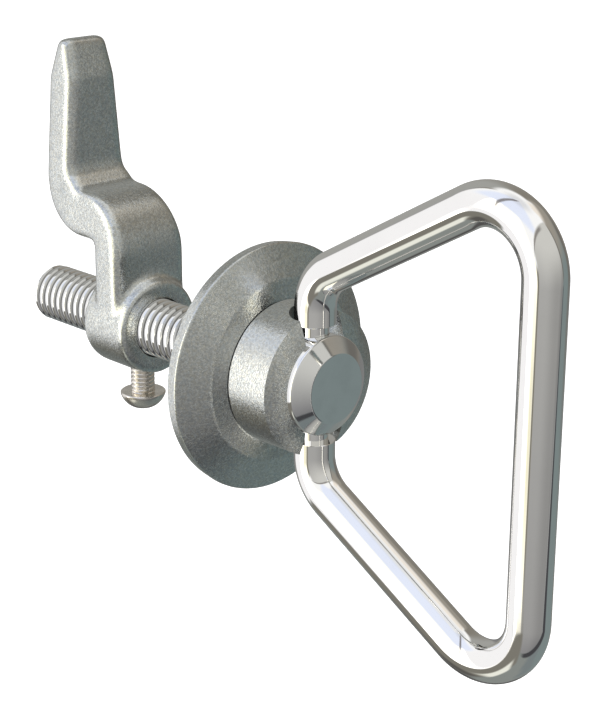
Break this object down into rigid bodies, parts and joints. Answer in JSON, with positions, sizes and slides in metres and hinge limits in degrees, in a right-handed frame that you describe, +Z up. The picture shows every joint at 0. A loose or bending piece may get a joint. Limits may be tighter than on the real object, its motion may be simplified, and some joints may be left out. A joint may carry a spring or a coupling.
{
  "type": "cam latch",
  "caption": "Quarter-turn cam latch with a folding loop handle, a round mounting plate and an adjustable cam on a threaded spindle.",
  "frame": {"origin": "centre of the mounting plate's back face, on the spindle's centre line", "axes": "+Y along the spindle, out of the plate's back towards the cam; the handle stands on -Y; +Z up, the way the cam's finger points; +X to the right for a person at the cam"},
  "size_m": [0.0392, 0.111, 0.082],
  "materials": {
    "plated_casting": "zinc-plated, satin and mottled",
    "polished_bar": "polished",
    "turned_steel": "bright turned",
    "screw_steel": "bright",
    "plated_steel": "zinc-plated",
    "spring_steel": "black oxide",
    "black_washer": "matte"
  },
  "bodies": {
    "plate_body": {"mounting_plate": "plated_casting", "bearing_washer": "black_washer", "lock_washer": "plated_steel", "mounting_nut": "plated_steel", "thrust_washer": "plated_steel"},
    "spindle_body": {"spindle": "turned_steel", "collar": "plated_casting", "retaining_ring": "spring_steel"},
    "handle_body": {"handle": "polished_bar"},
    "cam_body": {"cam": "plated_casting"},
    "screw_body": {"set_screw": "screw_steel"}
  },
  "joints": [
    {"name": "spindle_turn", "type": "hinge", "parent": "plate_body", "child": "spindle_body", "pos_m": [0, 0, 0], "axis": [0, 1, 0], "continuous": true},
    {"name": "handle_fold", "type": "hinge", "parent": "spindle_body", "child": "handle_body", "pos_m": [0, -0.0113, 0], "axis": [0, 0, 1], "range_deg": [-100, 100]},
    {"name": "cam_adjust", "type": "slide", "parent": "spindle_body", "child": "cam_body", "axis": [0, 1, 0], "range_m": [-0.012, 0.018]},
    {"name": "set_screw_travel", "type": "slide", "parent": "cam_body", "child": "screw_body", "axis": [0, 0, -1], "range_m": [0, 0.002]}
  ]
}
